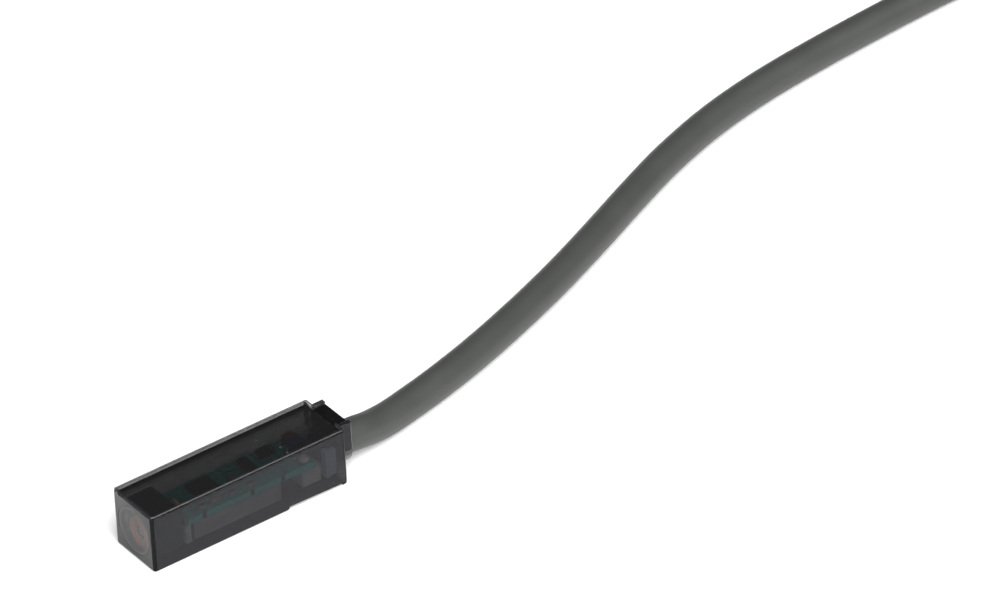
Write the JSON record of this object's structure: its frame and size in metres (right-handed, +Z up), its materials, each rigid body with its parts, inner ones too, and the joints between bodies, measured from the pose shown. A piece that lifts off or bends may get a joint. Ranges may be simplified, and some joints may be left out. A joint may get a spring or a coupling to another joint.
{
  "type": "photoelectric sensor",
  "caption": "Small block photoelectric sensor in a smoked translucent housing, round lens in the front end, inset lid, rear collar with a moulded-in grey cable, spare length folded and tied.",
  "frame": {"origin": "under the middle of the sensor (housing and collar), on the plane it stands on; the cable and its hank are not counted", "axes": "+Z up, the lens looks along -Y, the cable leaves along +Y, +X across the sensor"},
  "size_m": [0.0498, 0.3243, 0.0225],
  "materials": {
    "smoked_plastic": "smoked translucent polycarbonate, gloss",
    "lens_plastic": "smoked translucent polycarbonate, polished",
    "ring_plastic": "reddish brown, satin",
    "clear_epoxy": "clear to pale amber epoxy",
    "holder_plastic": "grey green, matte",
    "tinned_steel": "tinned, dull",
    "board_green": "green solder mask on glass epoxy",
    "amber_resin": "amber resin",
    "chip_black": "black moulded epoxy",
    "ceramic": "tan ceramic",
    "white_epoxy": "white dipped epoxy",
    "film_grey": "light grey",
    "clamp_blue": "grey blue nylon",
    "core_brown": "brown insulation",
    "core_blue": "blue insulation",
    "core_black": "black insulation",
    "solder": "tin solder, bright",
    "cable_grey": "dark grey flexible jacket, satin",
    "tie_black": "black nylon"
  },
  "bodies": {
    "root": {"housing": "smoked_plastic", "lid": "smoked_plastic", "front_lens": "lens_plastic", "aperture_ring": "ring_plastic", "emitter": "clear_epoxy", "optics_holder": "holder_plastic", "optics_shield": "tinned_steel", "emitter_lead_left": "tinned_steel", "emitter_lead_right": "tinned_steel", "circuit_board": "board_green", "indicator_led": "amber_resin", "control_chip": "chip_black", "driver_chip": "chip_black", "surge_diode": "chip_black", "resistor_1": "chip_black", "resistor_2": "chip_black", "resistor_3": "chip_black", "capacitor_1": "ceramic", "capacitor_2": "ceramic", "bead_capacitor": "white_epoxy", "shield_can": "tinned_steel", "film_capacitor": "film_grey", "cable_clamp": "clamp_blue", "board_core_brown": "core_brown", "board_core_blue": "core_blue", "board_core_black": "core_black", "solder_joint_brown": "solder", "solder_joint_blue": "solder", "solder_joint_black": "solder", "cable": "cable_grey", "cable_hank": "cable_grey", "cable_tail": "cable_grey", "hank_tie_left": "tie_black", "hank_tie_right": "tie_black", "tail_core_brown": "core_brown", "tail_core_blue": "core_blue", "tail_core_black": "core_black", "tail_tip_brown": "tinned_steel", "tail_tip_blue": "tinned_steel", "tail_tip_black": "tinned_steel"}
  },
  "joints": []
}
